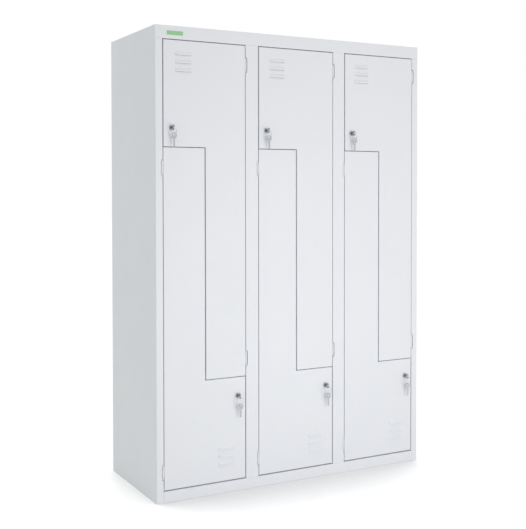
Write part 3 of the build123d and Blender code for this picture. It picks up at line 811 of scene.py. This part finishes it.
def makeWeldMarks(size):
    bm = bmesh.new()
    mark = weldMesh(size)
    low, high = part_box("back_panel")
    fromSide = size["fromSide"] * mm
    columns = [cabinetLow.x + fromSide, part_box("right_side_panel")[1].x - fromSide]
    for number in range(1, columnCount):
        columns.append(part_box(f"column_partition_{number}")[0].x + size["fromPartition"] * mm)
    start, end = low.z + size["fromFoot"] * mm, high.z - size["fromTop"] * mm
    count = round((end - start) / (size["pitch"] * mm))
    for x in columns:
        for number in range(count + 1):
            z = start + (end - start) * number / count
            addCopy(bm, mark, Matrix.Translation((x, high.y, z)))
    mark.free()
    shadeSmooth(bm, size["crease"])
    addPiece("backWeldMarks", bm, "satinPowderCoat", "cabinet")


makeWeldMarks(weldMark)
print("weld marks made")


# White room: it lights the locker from all round, and the camera and mirrors see it plain white
whiteRoom = {
    "colour": "#FFFFFF",
    "light": 0.65,
    "seen": 1.0,
}


def seenDirectly(tree):
    # 1 for a ray from the camera or from a shiny or clear surface
    path = addNode(tree, "ShaderNodeLightPath")
    total = addNode(tree, "ShaderNodeMath", {"operation": "ADD"},
                    {0: path.outputs["Is Camera Ray"], 1: path.outputs["Is Glossy Ray"]})
    total = addNode(tree, "ShaderNodeMath", {"operation": "ADD", "use_clamp": True},
                    {0: total.outputs[0], 1: path.outputs["Is Transmission Ray"]})
    return total.outputs[0]


def makeWorld(look):
    world = bpy.data.worlds.new("whiteRoom")
    bpy.context.scene.world = world
    world.use_nodes = True
    tree = world.node_tree
    tree.nodes.clear()
    levels = {"data_type": "FLOAT", 2: look["light"], 3: look["seen"]}
    strength = addNode(tree, "ShaderNodeMix", levels, {0: seenDirectly(tree)})
    room = addNode(tree, "ShaderNodeBackground", {"Color": linearColour(look["colour"])},
                   {"Strength": strength.outputs[0]})
    addNode(tree, "ShaderNodeOutputWorld", links={"Surface": room.outputs[0]})


makeWorld(whiteRoom)
print("room made")


# White floor: matt paint that glows to the camera and mirrors, with a painted shadow: the glow is less
# where the locker fills the floor's tilted view of the room
whiteFloor = {
    "width": 60,
    "colour": "#F2F2F2",
    "glow": 0.46,
    "glowColour": "#FFFFFF",
    "shadowSide": (0.15, 0.8, 0.85),  # where the floor looks for what shades it
    "shadowReach": 0.65,
    "shadowSamples": 16,
    "shadowEnds": (0.3, 0.7),  # open share of that view in full shadow and in none
}


def floorPaint(look):
    material = newMaterial("floorPaintWithPaintedShadow")
    tree = material.node_tree
    side = addNode(tree, "ShaderNodeCombineXYZ", dict(enumerate(look["shadowSide"])))
    reach = {"Distance": look["shadowReach"], "samples": look["shadowSamples"]}
    # Painted shadow round the foot: the glow falls with the occlusion that the floor sees towards the
    # shadow side
    view = addNode(tree, "ShaderNodeAmbientOcclusion", reach, {"Normal": side.outputs[0]})
    shaded, clear = look["shadowEnds"]
    levels = {"From Min": shaded, "From Max": clear, "To Max": look["glow"]}
    glow = addNode(tree, "ShaderNodeMapRange", levels, {"Value": view.outputs["AO"]})
    glow = addNode(tree, "ShaderNodeMath", {"operation": "MULTIPLY"},
                   {0: glow.outputs[0], 1: seenDirectly(tree)})
    paint = addNode(tree, "ShaderNodeBsdfDiffuse", {"Color": linearColour(look["colour"])})
    light = addNode(tree, "ShaderNodeEmission", {"Color": linearColour(look["glowColour"])},
                    {"Strength": glow.outputs[0]})
    both = addNode(tree, "ShaderNodeAddShader", links={0: paint.outputs[0], 1: light.outputs[0]})
    addNode(tree, "ShaderNodeOutputMaterial", links={"Surface": both.outputs[0]})
    return material


def makeFloor(look):
    bm = bmesh.new()
    bmesh.ops.create_grid(bm, x_segments=1, y_segments=1, size=look["width"] / 2)
    mesh = bpy.data.meshes.new("studioFloor")
    bm.to_mesh(mesh)
    bm.free()
    mesh.materials.append(floorPaint(look))
    floor = bpy.data.objects.new("studioFloor", mesh)
    bpy.context.scene.collection.objects.link(floor)


makeFloor(whiteFloor)
print("floor made")


# Lamps: a wide soft one close in front, a small one further off for the shadows, and one on the
# left for the side, with the faint green that the side has in daylight. The small one leaves no
# mirror image, which would burn out the top, seen from behind.
lamps = {
    "frontLamp": {
        "shape": "SQUARE", "size": 1.5, "place": (0.3, -1.9, 0.72), "aim": (0.3, 0, 0.72),
        "power": 7.6, "tint": "#FFFFFF", "mirrored": True,
    },
    "farLamp": {
        "shape": "DISK", "size": 0.5, "place": (0.1, -5.5, 2.3), "aim": (0, 0, 1.0),
        "power": 43, "tint": "#FFFFFF", "mirrored": False,
    },
    "leftLamp": {
        "shape": "SQUARE", "size": 2.0, "place": (-5.0, 0.6, 1.7), "aim": (-0.6, 0, 0.9),
        "power": 17.2, "tint": "#EEFFEF", "mirrored": True,
    },
}


def makeLamp(name, look):
    light = bpy.data.lights.new(name, "AREA")
    light.shape = look["shape"]
    light.size = look["size"]
    light.energy = look["power"]
    light.color = linearColour(look["tint"])[:3]
    lamp = bpy.data.objects.new(name, light)
    bpy.context.scene.collection.objects.link(lamp)
    lamp.location = look["place"]
    lamp.rotation_euler = (Vector(look["aim"]) - lamp.location).to_track_quat("-Z", "Y").to_euler()
    lamp.visible_camera = False
    lamp.visible_glossy = look["mirrored"]


for name, look in lamps.items():
    makeLamp(name, look)
print("lamps made:", len(lamps))


# Camera: nearly level, left of the cabinet, turned towards it, with the picture shifted down
camera = {
    "fromCorner": (-1.3067, -3.2434, 1.1827),  # from the front left foot of the cabinet
    "pitch": -1.3,  # degrees, as the next two are
    "roll": 0.07,
    "turn": -28.52,
    "lens": 63.35,
    "sensor": 36,
    "shift": -0.1009,  # of the picture's height
}


def makeCamera(look):
    view = bpy.data.cameras.new("photoCamera")
    view.sensor_fit = "VERTICAL"
    view.sensor_height = look["sensor"]
    view.lens = look["lens"]
    view.shift_y = look["shift"]
    viewer = bpy.data.objects.new("photoCamera", view)
    bpy.context.scene.collection.objects.link(viewer)
    viewer.location = Vector((cabinetLow.x, frontPlane, 0)) + Vector(look["fromCorner"])
    pitch, roll, turn = [math.radians(look[name]) for name in ("pitch", "roll", "turn")]
    viewer.rotation_euler = (quarterTurn + pitch, roll, turn)
    bpy.context.scene.camera = viewer


makeCamera(camera)
bpy.context.scene.view_settings.view_transform = "Standard"
print("camera made")
